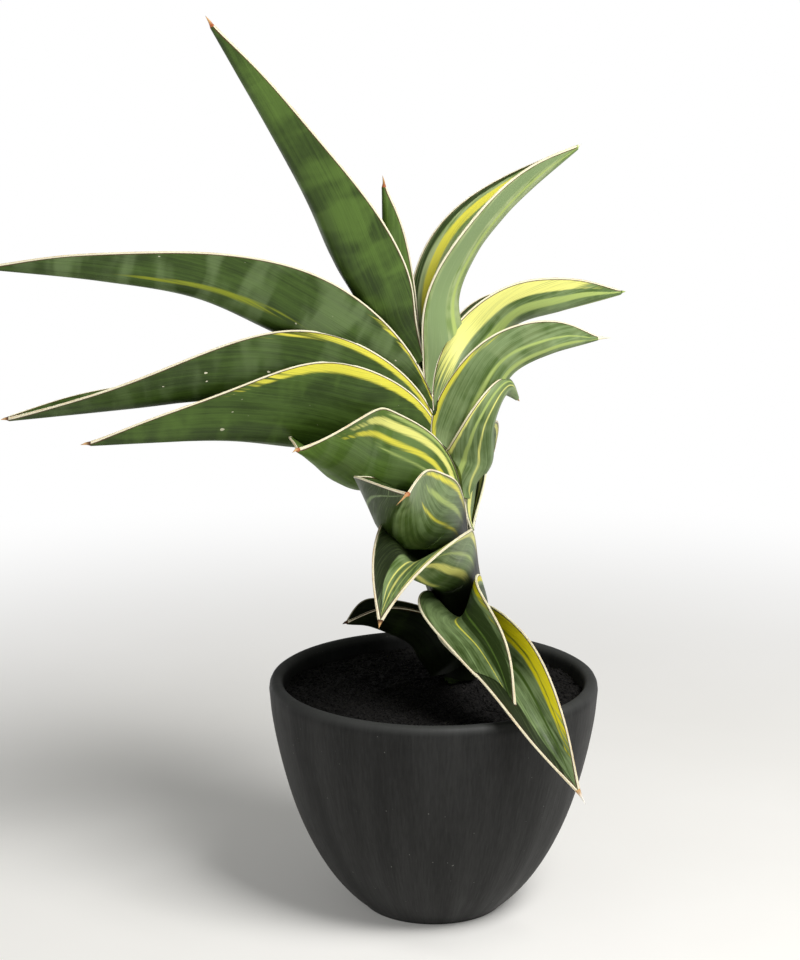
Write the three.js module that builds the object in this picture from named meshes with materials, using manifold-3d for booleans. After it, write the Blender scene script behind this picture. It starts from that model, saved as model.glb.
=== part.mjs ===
// A variegated Sansevieria ehrenbergii in a dark bowl-shaped pot.
// Millimetres, +Z up. The origin is the centre of the pot's flat base, +X is to the right of the
// front view and +Y points away from it.
import * as THREE from 'three';
import { mergeVertices } from 'three/addons/utils/BufferGeometryUtils.js';
import Module from 'manifold-3d';

const wasm = await Module();
wasm.setup();

// The pot, a thick-walled bowl that narrows to its foot.
const potHeight = 115;
const potRimRadius = 80;
const potFootRadius = 35.4;
const potFloor = 8;
const potSides = 54;

// The soil, and the plain hole in it that the stem stands in.
const soilTop = 107;
const soilGap = 0.3;
const soilRelief = 1;
const soilRings = [11, 20, 32, 45, 58, 68];
const soilSides = 36;
const holeRadius = 8;
const holeDepth = 45;

// The middle of the plant: the height of each point and how far right it is. It stands a little
// behind the pot's axis and leans to the left as it rises.
const axisPoints = [
  [62, 11.5], [107, 11.5], [150, 11], [185, 9.5], [215, 6.5], [240, 1], [262, -5], [282, -10], [305, -14]
];
const axisBack = 20;
const stemRadius = 6;
const stemTop = 262;
const stemSides = 6;
const stemSteps = 8;

// How finely a leaf is divided, the thickness of its margin and the gap between leaves.
const leafStations = 10;
const wavedStations = 15;
const leafSegments = 6;
const sectionSteps = 16;
const marginThickness = 1;
const rippleRate = 44;
const leafGap = 0.3;
const weldDistance = 0.01;
const weldRounds = 3;

// The horny point narrows to this share of the blade's end over this share of its length.
const neckShare = 0.55;
const neckReach = 0.35;

// A leaf base clasps the stem: its keel starts near the axis and flares out in three steps.
const baseFlare = [10, 14, 20];
const baseStep = 9;
const sheathShare = 0.26;
const sheathReach = 9;

const colours = {
  pot: 0x3a3b3c,
  soil: 0x16130f,
  stem: 0x7c8a52,
  leaf: 0x5d7a45
};

// The leaves from the newest, at the top, to the oldest. turn is the side of the stem in degrees,
// 0 to the right, 90 away and 180 to the left. base is the height of the leaf's root. keel holds the
// points of its keel after the base, and the lists run from the root to the tip: the width along the
// skin, the angle that each half folds up by, the share of the half that bends, the roll about the
// keel and the thickness at the keel. spine is the length of the horny point.
const leaves = [
  {
    name: 'leaf_spear', turn: 180, base: 268, flare: [5, 6, 7],
    keel: [[-22, 18, 315], [-24, 16, 350]],
    width: [16, 24, 24, 18, 4], fold: [100, 80, 60], bend: [1, 0.8, 0.5, 0.4],
    roll: [0, -20, -30], thick: [2.5, 4, 3.5, 2], spine: 6
  },
  {
    name: 'leaf_left_1', turn: 180, base: 262,
    keel: [[-33, 8, 296], [-43, 2, 316], [-54, -2, 342], [-73, -6, 377], [-101, -12, 424]],
    width: [36, 48, 58, 56, 45, 34, 25, 17, 6], fold: [105, 80, 50, 42, 40, 40],
    bend: [1, 0.75, 0.45, 0.35, 0.3], roll: [0, -12, -36, -38, -38, -34],
    thick: [2.5, 6, 5.5, 5, 4, 2.2], spine: 6
  },
  {
    name: 'leaf_right_1', turn: 4, base: 259, sheath: 0.4,
    keel: [[9, 25, 296], [18, 29, 319], [31, 33, 335], [46, 38, 349], [69, 43, 367]],
    width: [38, 50, 48, 45, 37, 24, 10], fold: [105, 84, 60, 52, 50],
    bend: [1, 0.75, 0.45, 0.4, 0.35], roll: [0, -10, -24, -10, 6],
    thick: [2.5, 6, 5.5, 5, 4, 2.2], spine: 3
  },
  {
    name: 'leaf_left_2', turn: 180, base: 240,
    keel: [[-46, 8, 272], [-71, 2, 285], [-110, -4, 303], [-156, -8, 311], [-205, -10, 315]],
    width: [36, 50, 68, 68, 52, 37, 26, 19, 9], fold: [105, 80, 52, 44, 42, 42],
    bend: [1, 0.75, 0.45, 0.35, 0.3], roll: [0, -12, -40, -42, -38, -30],
    thick: [2.5, 6, 6, 5.5, 5, 4, 2.2], spine: 6
  },
  {
    name: 'leaf_right_2', turn: 5, base: 237, sheath: 0.32,
    keel: [[27, 38, 268], [39, 47, 282], [64, 58, 288], [94, 66, 294]],
    width: [36, 50, 55, 48, 37, 25, 9], fold: [105, 84, 66, 56, 50],
    bend: [1, 0.75, 0.45, 0.4, 0.35], roll: [0, 0, -14, 2, 20],
    thick: [2.5, 6, 5.5, 5, 4, 2.2], spine: 4
  },
  {
    name: 'leaf_left_3', turn: 182, base: 222,
    keel: [[-41, 9, 247], [-64, 4, 254], [-100, -4, 255], [-143, -10, 251], [-199, -16, 245]],
    width: [36, 52, 75, 72, 54, 37, 26, 18, 7], fold: [105, 82, 56, 50, 48, 46],
    bend: [1, 0.75, 0.45, 0.35, 0.3], roll: [0, -12, -40, -38, -12, 6],
    thick: [2.5, 6, 6, 5.5, 5, 4, 2.2], spine: 4
  },
  {
    name: 'leaf_left_4', turn: 188, base: 212.5,
    keel: [[-39, 6, 229], [-64, -4, 233], [-96, -14, 237], [-128, -22, 237], [-159, -30, 236]],
    width: [36, 54, 84, 86, 70, 47, 32, 21, 8], fold: [105, 82, 58, 52, 50, 46],
    bend: [1, 0.75, 0.45, 0.35, 0.3], roll: [0, -12, -44, -42, -32, -15],
    thick: [2.5, 6, 6, 5.5, 5, 4, 2.2], spine: 5
  },
  {
    name: 'leaf_right_3', turn: 2, base: 217, sheath: 0.32,
    keel: [[28, 22, 247], [37, 23, 262], [57, 29, 271], [80, 38, 275]],
    width: [36, 48, 52, 47, 37, 25, 8], fold: [105, 84, 66, 56, 50],
    bend: [1, 0.75, 0.45, 0.4, 0.35], roll: [0, 14, 14, 24, 34],
    thick: [2.5, 6, 5.5, 5, 4, 2.2], spine: 5
  },
  {
    name: 'leaf_right_4', turn: 8, base: 199, sheath: 0.3,
    keel: [[27, 14, 238], [32, 17, 250], [36, 24, 252], [41, 34, 246]],
    width: [36, 52, 50, 37, 25, 16, 6], fold: [105, 84, 62, 50, 46],
    bend: [1, 0.75, 0.45, 0.4, 0.35], roll: [0, 10, 10, 0, 0],
    thick: [2.5, 6, 5.5, 5, 4, 2.2], spine: 4
  },
  {
    name: 'leaf_front_1', turn: 205, base: 187,
    keel: [[-34, -10, 213], [-49, -36, 227], [-62, -60, 239]],
    width: [36, 56, 82, 74, 44, 8], fold: [105, 80, 60, 50, 42],
    bend: [1, 0.75, 0.45, 0.35, 0.3], roll: [0, -14, -40, -36, -20],
    thick: [2.5, 6, 6, 5.5, 4, 2.2], spine: 5
  },
  {
    name: 'leaf_back_1', turn: 76, base: 179, sheath: 0.4,
    keel: [[20, 56, 216], [25, 71, 221], [29, 83, 216], [32, 92, 209]],
    width: [36, 52, 56, 44, 28, 16, 6], fold: [105, 82, 62, 50, 46],
    bend: [1, 0.75, 0.45, 0.4, 0.35], roll: [0, 6, 6, 0, 0],
    thick: [2.5, 6, 5.5, 5, 4, 2.2], spine: 4
  },
  {
    name: 'leaf_front_2', turn: 245, base: 161,
    keel: [[-15, -38, 192], [-17, -66, 211], [-13, -88, 225]],
    width: [36, 52, 72, 78, 68, 48, 10], fold: [105, 80, 66, 60, 52],
    bend: [1, 0.75, 0.5, 0.4, 0.35], roll: [0, 0, -4, -16, -26],
    thick: [2.5, 6, 6, 5.5, 4, 2.2], spine: 6
  },
  {
    name: 'leaf_back_2', turn: 96, base: 155, sheath: 0.4,
    keel: [[11, 60, 192], [10, 82, 200], [6, 102, 193], [3, 118, 176]],
    width: [36, 52, 60, 50, 36, 20, 6], fold: [105, 82, 62, 50, 46],
    bend: [1, 0.75, 0.45, 0.4, 0.35], roll: [0, 0, 0, 0, 0],
    thick: [2.5, 6, 5.5, 5, 4, 2.2], spine: 4
  },
  {
    name: 'leaf_front_3', turn: 262, base: 141,
    keel: [[-5, -30, 172], [-14, -56, 184], [-22, -76, 180], [-25, -88, 168]],
    width: [32, 42, 56, 63, 46, 26, 7], fold: [95, 74, 56, 50, 46], wave: 0.05,
    bend: [1, 0.75, 0.5, 0.4, 0.35], roll: [0, 0, 8, 20, 20],
    thick: [2.5, 6, 6, 5.5, 4, 2.2], spine: 4
  },
  {
    name: 'leaf_back_3', turn: 108, base: 131, sheath: 0.4,
    keel: [[-1, 56, 162], [-5, 76, 170], [-10, 96, 162], [-14, 110, 144]],
    width: [36, 52, 60, 50, 36, 20, 6], fold: [105, 82, 62, 50, 46],
    bend: [1, 0.75, 0.45, 0.4, 0.35], roll: [0, 0, 0, 0, 0],
    thick: [2.5, 6, 5.5, 5, 4, 2.2], spine: 4
  },
  {
    name: 'leaf_front_4', turn: 290, base: 122,
    keel: [[11, -28, 147], [21, -48, 141], [35, -75, 124]],
    width: [30, 38, 46, 40, 27, 8], fold: [90, 72, 56, 46, 42], wave: 0.08,
    bend: [1, 0.75, 0.5, 0.4, 0.35], roll: [0, 4, 2, 0, 0],
    thick: [2.5, 6, 6, 5.5, 4, 2.2], spine: 6
  },
  {
    name: 'leaf_front_5', turn: 300, base: 110, flare: [12, 15, 19],
    keel: [[22, -30, 134], [35, -56, 130], [49, -80, 112], [63, -90, 90]],
    width: [36, 42, 50, 47, 37, 23, 7], fold: [98, 72, 54, 46, 42], wave: 0.07,
    bend: [1, 0.75, 0.5, 0.4, 0.35], roll: [0, -4, -2, 0, 0],
    thick: [2.5, 6, 6, 5.5, 4, 2.2], spine: 8
  },
  {
    name: 'leaf_back_4', turn: 190, base: 110, flare: [12, 16, 21],
    keel: [[-30, 10, 138], [-42, 6, 140]],
    width: [40, 48, 40, 34, 18], fold: [105, 76, 56, 50, 46], wave: 0.09,
    bend: [1, 0.75, 0.5, 0.4, 0.35], roll: [0, -4, -10, -10, 0],
    thick: [2.5, 6, 6, 5, 3, 2.2], spine: 3
  }
];

// The smooth value at share u of a list of evenly spaced values.
function along(values, u) {
  const last = values.length - 1;
  const place = u * last;
  const k = Math.min(Math.floor(place), last - 1);
  const w = place - k;
  const b = values[k];
  const c = values[k + 1];
  const a = k > 0 ? values[k - 1] : 2 * b - c;
  const d = k + 2 <= last ? values[k + 2] : 2 * c - b;
  return b + 0.5 * w * (c - a + w * (2 * a - 5 * b + 4 * c - d + w * (3 * (b - c) + d - a)));
}

// The plant's axis at a height.
function axisAt(height) {
  let k = 0;
  while (k < axisPoints.length - 2 && height > axisPoints[k + 1][0]) k += 1;
  const [low, from] = axisPoints[k];
  const [high, to] = axisPoints[k + 1];
  const x = from + (to - from) * (height - low) / (high - low);
  return new THREE.Vector3(x, axisBack, height);
}

// A point of a leaf's section at s, from -1 at one margin over 0 at the keel to 1 at the other,
// as distances across and up, with the direction of the skin there.
function sectionPoint(s, halfWidth, fold, bend) {
  const side = s < 0 ? -1 : 1;
  const reach = Math.abs(s);
  const angleAt = (x) => {
    const share = Math.min(1, x / bend);
    return fold * (bend < 0.99 ? share * (2 - share) : share);
  };
  let across = 0;
  let up = 0;
  for (let k = 0; k < sectionSteps; k += 1) {
    const angle = angleAt((k + 0.5) / sectionSteps * reach);
    across += Math.cos(angle) * reach / sectionSteps;
    up += Math.sin(angle) * reach / sectionSteps;
  }
  const angle = angleAt(reach);
  return {
    across: side * across * halfWidth,
    up: up * halfWidth,
    normal: [-side * Math.sin(angle), Math.cos(angle)]
  };
}

// The keel of a leaf: its base on the stem, then its own points.
function keelOf(leaf) {
  const turn = THREE.MathUtils.degToRad(leaf.turn);
  const out = new THREE.Vector3(Math.cos(turn), Math.sin(turn), 0);
  const flare = leaf.flare ?? baseFlare;
  const base = flare.map((reach, k) => axisAt(leaf.base + k * baseStep).addScaledVector(out, reach));
  const rest = leaf.keel.map((point) => new THREE.Vector3(...point));
  return { out, curve: new THREE.CatmullRomCurve3([...base, ...rest], false, 'centripetal') };
}

// The closed skin of a leaf from its root to the share `reach` of its length, thickened by
// `clearance` all round and by `outset` more on the outside.
function bladeGeometry(leaf, clearance, outset, reach) {
  const stations = leaf.wave ? wavedStations : leafStations;
  const { out, curve } = keelOf(leaf);
  const up = out.clone().negate();
  const positions = [];
  const ring = 2 * (leafSegments + 1);
  let centre = new THREE.Vector3();
  let tangent = new THREE.Vector3();
  for (let i = 0; i <= stations; i += 1) {
    const u = i / stations * reach;
    const point = curve.getPointAt(u);
    tangent = curve.getPointAt(Math.min(1, u + 0.01)).sub(curve.getPointAt(Math.max(0, u - 0.01)));
    tangent.normalize();
    up.addScaledVector(tangent, -up.dot(tangent)).normalize();
    const roll = THREE.MathUtils.degToRad(along(leaf.roll, u));
    const rolled = up.clone().applyAxisAngle(tangent, -roll);
    const lateral = new THREE.Vector3().crossVectors(rolled, tangent);
    const halfWidth = Math.max(along(leaf.width, u), 1.6) / 2;
    const fold = THREE.MathUtils.degToRad(along(leaf.fold, u));
    const bend = along(leaf.bend, u);
    const thick = along(leaf.thick, u);
    centre = new THREE.Vector3();
    for (let j = 0; j < ring; j += 1) {
      const outer = j <= leafSegments;
      const step = outer ? j : ring - 1 - j;
      const s = -1 + 2 * step / leafSegments;
      const ripple = Math.abs(s) > 0.99 ? (leaf.wave ?? 0) * Math.sin(rippleRate * u + 2 * s) : 0;
      const at = sectionPoint(s * (1 + ripple), halfWidth, fold, bend);
      const taper = 1 - Math.pow(Math.abs(s), 1.3);
      const half = 0.5 * (marginThickness + (thick - marginThickness) * taper) + clearance;
      const shift = outer ? -half - outset : half;
      const vertex = point.clone();
      vertex.addScaledVector(lateral, at.across + at.normal[0] * shift);
      vertex.addScaledVector(rolled, at.up + at.normal[1] * shift);
      centre.addScaledVector(vertex, 1 / ring);
      positions.push(vertex);
    }
  }
  const last = stations * ring;
  for (let j = 0; j < ring; j += 1) {
    const neck = centre.clone().lerp(positions[last + j], neckShare);
    positions.push(neck.addScaledVector(tangent, leaf.spine * neckReach));
  }
  const rings = stations + 2;
  const index = [];
  for (let i = 0; i < rings - 1; i += 1) {
    for (let j = 0; j < ring; j += 1) {
      const a = i * ring + j;
      const b = i * ring + (j + 1) % ring;
      const c = b + ring;
      const d = a + ring;
      if (j < leafSegments) index.push(a, b, c, a, c, d);
      else index.push(a, b, d, b, c, d);
    }
  }
  const end = (rings - 1) * ring;
  const tip = positions.push(centre.clone().addScaledVector(tangent, leaf.spine)) - 1;
  for (let j = 0; j < ring; j += 1) index.push(end + j, end + (j + 1) % ring, tip);
  for (let j = 0; j < leafSegments; j += 1) {
    const inner = ring - 1 - j;
    index.push(j + 1, j, inner, j + 1, inner, inner - 1);
  }
  const geometry = new THREE.BufferGeometry();
  geometry.setFromPoints(positions);
  geometry.setIndex(index);
  return geometry;
}

// A geometry as a solid for cutting and joining, and back.
function solidOf(geometry) {
  const bare = geometry.clone();
  bare.deleteAttribute('normal');
  bare.deleteAttribute('uv');
  const merged = mergeVertices(bare, weldDistance);
  const vertProperties = new Float32Array(merged.attributes.position.array);
  const triVerts = new Uint32Array(merged.index.array);
  return new wasm.Manifold(new wasm.Mesh({ numProp: 3, vertProperties, triVerts }));
}

function geometryOf(solid) {
  const mesh = solid.getMesh();
  const geometry = new THREE.BufferGeometry();
  geometry.setAttribute('position', new THREE.Float32BufferAttribute(mesh.vertProperties, 3));
  geometry.setIndex([...mesh.triVerts]);
  return geometry;
}

// The largest closed body of a cut solid: cutting can leave small scraps, inner pockets and flaps
// with no thickness, which are dropped. Welding close points can bare more of them.
function largestBody(solid) {
  let body = solid;
  for (let round = 0; round < weldRounds; round += 1) {
    const bodies = solidOf(geometryOf(body)).decompose();
    body = bodies.reduce((m, n) => (n.volume() > m.volume() ? n : m));
  }
  return body;
}

const plant = new THREE.Group();

function place(name, geometry, colour, roughness) {
  const flat = geometry.index ? geometry.toNonIndexed() : geometry;
  flat.computeVertexNormals();
  const material = new THREE.MeshStandardMaterial({ color: colour, roughness, metalness: 0 });
  material.flatShading = true;
  const mesh = new THREE.Mesh(flat, material);
  mesh.name = name;
  plant.add(mesh);
}

// The pot: its outside bulges under a rounded lip, and its inside follows it.
const potProfile = [
  [0, 0], [potFootRadius - 1, 0], [potFootRadius, 0.8], [43, 8], [51.5, 18.5], [60, 33], [68, 52],
  [74.5, 75], [78.6, 96], [potRimRadius, 110], [79, 113.8], [76.4, potHeight], [73.8, 113.8],
  [73, 110], [71.2, 95], [67.2, 74], [60.5, 52], [52.2, 35], [43, 21.5], [30, 10], [0, potFloor]
];
const potShape = potProfile.map(([radius, height]) => new THREE.Vector2(radius, height));
const pot = new THREE.LatheGeometry(potShape, potSides);
pot.rotateX(Math.PI / 2);
place('pot', mergeVertices(pot.deleteAttribute('normal').deleteAttribute('uv'), 1e-4), colours.pot, 0.75);

// The soil fills the pot, with low lumps on its surface and a plain hole for the stem.
function soilGeometry() {
  const outline = [[0, potFloor + soilGap]];
  for (const [radius, height] of potProfile.slice(14, -1).reverse()) {
    outline.push([radius - soilGap, height + soilGap]);
  }
  outline.push([72.3, soilTop - 1.5]);
  for (const radius of [...soilRings].reverse()) outline.push([radius, soilTop]);
  outline.push([0, soilTop]);
  const shape = outline.map(([radius, height]) => new THREE.Vector2(radius, height));
  const soil = new THREE.LatheGeometry(shape, soilSides).rotateX(Math.PI / 2);
  const position = soil.attributes.position;
  for (let k = 0; k < position.count; k += 1) {
    const x = position.getX(k);
    const y = position.getY(k);
    const z = position.getZ(k);
    const radius = Math.hypot(x, y);
    if (z < soilTop - 0.1 || radius < 1) continue;
    const lump = Math.sin(x * 0.19 + 1.3) * Math.cos(y * 0.23) + 0.5 * Math.sin(x * 0.41 - y * 0.37);
    position.setZ(k, z + soilRelief * lump);
  }
  return soil;
}

const hole = new THREE.CylinderGeometry(holeRadius, holeRadius, holeDepth + 10, 20);
hole.rotateX(Math.PI / 2);
hole.translate(axisAt(soilTop).x, axisBack, soilTop - holeDepth / 2 + 5);
place('soil', geometryOf(solidOf(soilGeometry()).subtract(solidOf(hole))), colours.soil, 0.95);

// The stem, a round rod along the plant's axis.
const stemPath = [];
for (let k = 0; k <= stemSteps; k += 1) {
  const low = soilTop - holeDepth + 1;
  stemPath.push(axisAt(low + (stemTop - low) * k / stemSteps));
}
function stemGeometry(radius) {
  const section = new THREE.Shape();
  section.absarc(0, 0, radius, 0, 2 * Math.PI);
  const extrudePath = new THREE.CatmullRomCurve3(stemPath);
  return new THREE.ExtrudeGeometry(section, { curveSegments: stemSides, steps: stemSteps, extrudePath });
}

place('stem', geometryOf(solidOf(stemGeometry(stemRadius))), colours.stem, 0.6);

// Older leaves wrap the newer ones: what a newer leaf has on the wrong side of an older leaf's base,
// or within the gap of it, is cut away. An older leaf then leaves out what little a finished newer
// leaf still holds of it.
const stemAround = solidOf(stemGeometry(stemRadius + 2 * leafGap));
const full = leaves.map((leaf) => solidOf(bladeGeometry(leaf, 0, 0, 1)));
const around = leaves.map((leaf) => solidOf(bladeGeometry(leaf, leafGap, 0, 1)));
const sheaths = leaves.map((leaf) =>
  solidOf(bladeGeometry(leaf, leafGap, sheathReach, leaf.sheath ?? sheathShare)));
const finished = [];
leaves.forEach((leaf, k) => {
  let solid = full[k].subtract(stemAround);
  for (let older = k + 1; older < leaves.length; older += 1) {
    solid = solid.subtract(around[older]).subtract(sheaths[older]);
  }
  for (const newer of finished) solid = solid.subtract(newer);
  const body = largestBody(solid);
  finished.push(body);
  place(leaf.name, geometryOf(body), colours.leaf, 0.45);
});

export default plant;
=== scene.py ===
# The looks of a variegated Sansevieria ehrenbergii in a dark bowl-shaped pot.
import math

import bmesh
import bpy
import numpy as np
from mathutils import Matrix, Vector
from mathutils.bvhtree import BVHTree


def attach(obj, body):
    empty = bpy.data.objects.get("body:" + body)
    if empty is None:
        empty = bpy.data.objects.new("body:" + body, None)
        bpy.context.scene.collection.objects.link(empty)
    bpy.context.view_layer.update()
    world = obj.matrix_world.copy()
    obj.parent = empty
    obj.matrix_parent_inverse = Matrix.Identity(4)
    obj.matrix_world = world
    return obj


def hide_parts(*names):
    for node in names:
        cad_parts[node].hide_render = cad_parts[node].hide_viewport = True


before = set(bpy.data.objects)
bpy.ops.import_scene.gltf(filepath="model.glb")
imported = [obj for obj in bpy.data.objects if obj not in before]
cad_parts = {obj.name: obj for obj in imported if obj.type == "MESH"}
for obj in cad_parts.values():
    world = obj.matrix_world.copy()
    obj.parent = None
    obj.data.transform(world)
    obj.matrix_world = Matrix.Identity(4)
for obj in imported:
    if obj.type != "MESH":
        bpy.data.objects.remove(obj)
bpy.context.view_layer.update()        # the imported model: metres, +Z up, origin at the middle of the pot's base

mm = 0.001
tones = {
    "deepGreen": "2b3d0e", "green": "445c20", "softGreen": "5d7a30", "greyGreen": "7f9462",
    "paleGreen": "a6b866", "mistGreen": "adba86", "darkGreen": "1a2409", "blackGreen": "0e1306",
    "olive": "8a9420", "yellow": "e0d848", "paleYellow": "e4e27e", "gold": "d8cb12",
    "cream": "f0eacb", "white": "f1ece0", "tan": "c99e68", "rust": "a85a30", "brown": "54361f",
}


def rgb(code):  # a tone's name, or its hex code, as linear red, green and blue
    code = tones.get(code, code)
    parts = [int(code[k:k + 2], 16) / 255 for k in (0, 2, 4)]
    return [p / 12.92 if p <= 0.04045 else ((p + 0.055) / 1.055) ** 2.4 for p in parts] + [1]


# Small helpers for node trees; a node given as an input stands for its first output
def put(tree, kind, inputs=None, **settings):
    node = tree.nodes.new(kind)
    for key, value in settings.items():
        setattr(node, key, value)
    for key, value in (inputs or {}).items():
        if isinstance(value, bpy.types.Node):
            value = value.outputs[0]
        if isinstance(value, bpy.types.NodeSocket):
            tree.links.new(value, node.inputs[key])
        else:
            node.inputs[key].default_value = value
    return node


def calc(tree, operation, *values):  # one step of arithmetic
    return put(tree, "ShaderNodeMath", dict(enumerate(values)), operation=operation).outputs[0]


def times(tree, a, b):
    return calc(tree, "MULTIPLY", a, b)


def ramp(tree, value, low, high, start=0.0, end=1.0):  # a smooth step between two values
    inputs = {"Value": value, "From Min": low, "From Max": high, "To Min": start, "To Max": end}
    return put(tree, "ShaderNodeMapRange", inputs, interpolation_type="SMOOTHSTEP").outputs[0]


def blend(tree, share, a, b):  # colour a turning into colour b
    a, b = (rgb(end) if isinstance(end, str) else end for end in (a, b))
    inputs = {"Factor": share, 6: a, 7: b}
    return put(tree, "ShaderNodeMix", inputs, data_type="RGBA").outputs[2]


def noise(tree, vector, scale, detail=3.0, rough=0.55, twist=0.0):
    inputs = {"Vector": vector, "Scale": scale, "Detail": detail, "Roughness": rough, "Distortion": twist}
    return put(tree, "ShaderNodeTexNoise", inputs).outputs["Fac"]


def attribute(tree, name):  # a value that the mesh carries at its points
    return put(tree, "ShaderNodeAttribute", attribute_name=name).outputs["Fac"]


def objectPlace(tree):
    return put(tree, "ShaderNodeTexCoord").outputs["Object"]


def vector(tree, x, y, z):
    return put(tree, "ShaderNodeCombineXYZ", {0: x, 1: y, 2: z}).outputs[0]


def newGroup(name, treeKind, inputs, outputs):  # a node group with named sockets, each of a kind
    tree = bpy.data.node_groups.new(name, treeKind)
    for side, sockets in (("INPUT", inputs), ("OUTPUT", outputs)):
        for label, kind in sockets.items():
            tree.interface.new_socket(label, in_out=side, socket_type="NodeSocket" + kind)
    return tree, tree.nodes.new("NodeGroupInput"), tree.nodes.new("NodeGroupOutput")


def newMaterial(name):
    made = bpy.data.materials.new(name)
    made.use_nodes = True
    return made, made.node_tree, made.node_tree.nodes["Principled BSDF"]


def dress(tree, shader, colour, rough, height, strength, depth, specular=0.5):
    # gives a material its colour, roughness, relief of a strength and depth, and shine
    tree.links.new(colour, shader.inputs["Base Color"])
    tree.links.new(rough, shader.inputs["Roughness"])
    shader.inputs["Specular IOR Level"].default_value = specular
    bump = put(tree, "ShaderNodeBump", {"Height": height, "Strength": strength, "Distance": depth})
    tree.links.new(bump.outputs[0], shader.inputs["Normal"])


# Small helpers for meshes
def linked(name, data):
    made = bpy.data.objects.new(name, data)
    bpy.context.scene.collection.objects.link(made)
    return made


def newObject(name, points, faces, edges=()):  # points in millimetres
    mesh = bpy.data.meshes.new(name)
    mesh.from_pydata((np.asarray(points) * mm).tolist(), list(edges), faces)
    mesh.update()
    return linked(name, mesh)


def plainMesh(made, name):  # what the modifiers make of an object, as a plain mesh of its own
    bpy.context.view_layer.update()
    mesh = bpy.data.meshes.new_from_object(made.evaluated_get(bpy.context.evaluated_depsgraph_get()))
    mesh.name = name
    return mesh


def pointsOf(mesh):
    co = np.zeros(len(mesh.vertices) * 3, np.float32)
    mesh.vertices.foreach_get("co", co)
    return co.reshape(-1, 3)


def setValues(mesh, name, values):
    mesh.attributes.new(name, "FLOAT", "POINT").data.foreach_set("value", np.asarray(values, np.float32))


def finishPiece(made, slot, *nodes):
    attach(made, "root")
    if nodes:
        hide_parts(*nodes)


print("stage: leaves")

# The middle of the plant, as the height of each point and how far right it is
plant = {
    "axis": [(62, 11.5), (107, 11.5), (150, 11), (185, 9.5), (215, 6.5), (240, 1), (262, -5), (282, -10),
             (305, -14)],
    "axisBack": 20,
    "baseStep": 9, "baseFlare": [10, 14, 20],  # how far up and out a keel's first points are
}
blade = {
    "stations": 110,  # steps from the root to the tip
    "columns": 26,  # steps from margin to margin, on each face
    "margin": 1.0,  # thickness at the margin
    "crown": 1.3,  # how full the thickness is between the margin and the keel
    "gap": 0.3,  # between one leaf and the next
    "ahead": 0.01,  # how far ahead and behind the keel's way is taken
    "arc": 0.99,  # from this bend on, a section is a plain arc
    "ripples": 44,  # how fast a waved margin ripples
    "rippleFrom": 0.6,  # where the ripples start on the way to the margin
    "ripplePower": 1.5,  # how late they grow
    "sheathShare": 0.26,  # how much of an older leaf wraps the newer ones
    "sheathReach": 9,  # how far outside it a newer leaf is cut away
    "easeTurns": 200,  # rounds of smoothing along the leaf: of the way it points
    "easeMargins": 120,  # and of its margins
    "slimmest": 1.6,  # the least width
    "tipFrom": 0.86,  # where the blade starts to narrow towards its horny point
    "tipPower": 1.6,  # how late it narrows
    "spineWidth": 2.8,  # its width where the horny point starts
    "spineRings": 9,
    "spineRound": 2.2,  # how soon the horny point turns round
    "spineTaper": 0.9,  # how evenly it tapers
    "sharpAngle": 34,
}

# The leaves from the newest to the oldest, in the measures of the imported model
# base is the height where a leaf leaves the stem, turn the way it leaves, in degrees, flare how far out
# its first points are, and keel its path from there. width, fold and roll (in degrees), bend (how much of
# each half of the section is curved) and thick are given at even steps from the root to the tip. sheath
# is the share that wraps newer leaves, wave how much the margins ripple, edgeTone how brown they are,
# spine the length of the horny point and hook how far its end is bent aside.
leftward = dict(bend=[1, 0.75, 0.45, 0.35, 0.3], thick=[2.5, 6, 6, 5.5, 5, 4, 2.2])
rightward = dict(bend=[1, 0.75, 0.45, 0.4, 0.35], thick=[2.5, 6, 5.5, 5, 4, 2.2])
forward = dict(bend=[1, 0.75, 0.5, 0.4, 0.35], thick=[2.5, 6, 6, 5.5, 4, 2.2])
behind = dict(rightward, sheath=0.4, width=[36, 52, 60, 50, 36, 20, 6], fold=[105, 82, 62, 50, 46],
              roll=[0, 0, 0, 0, 0], spine=4)
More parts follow.
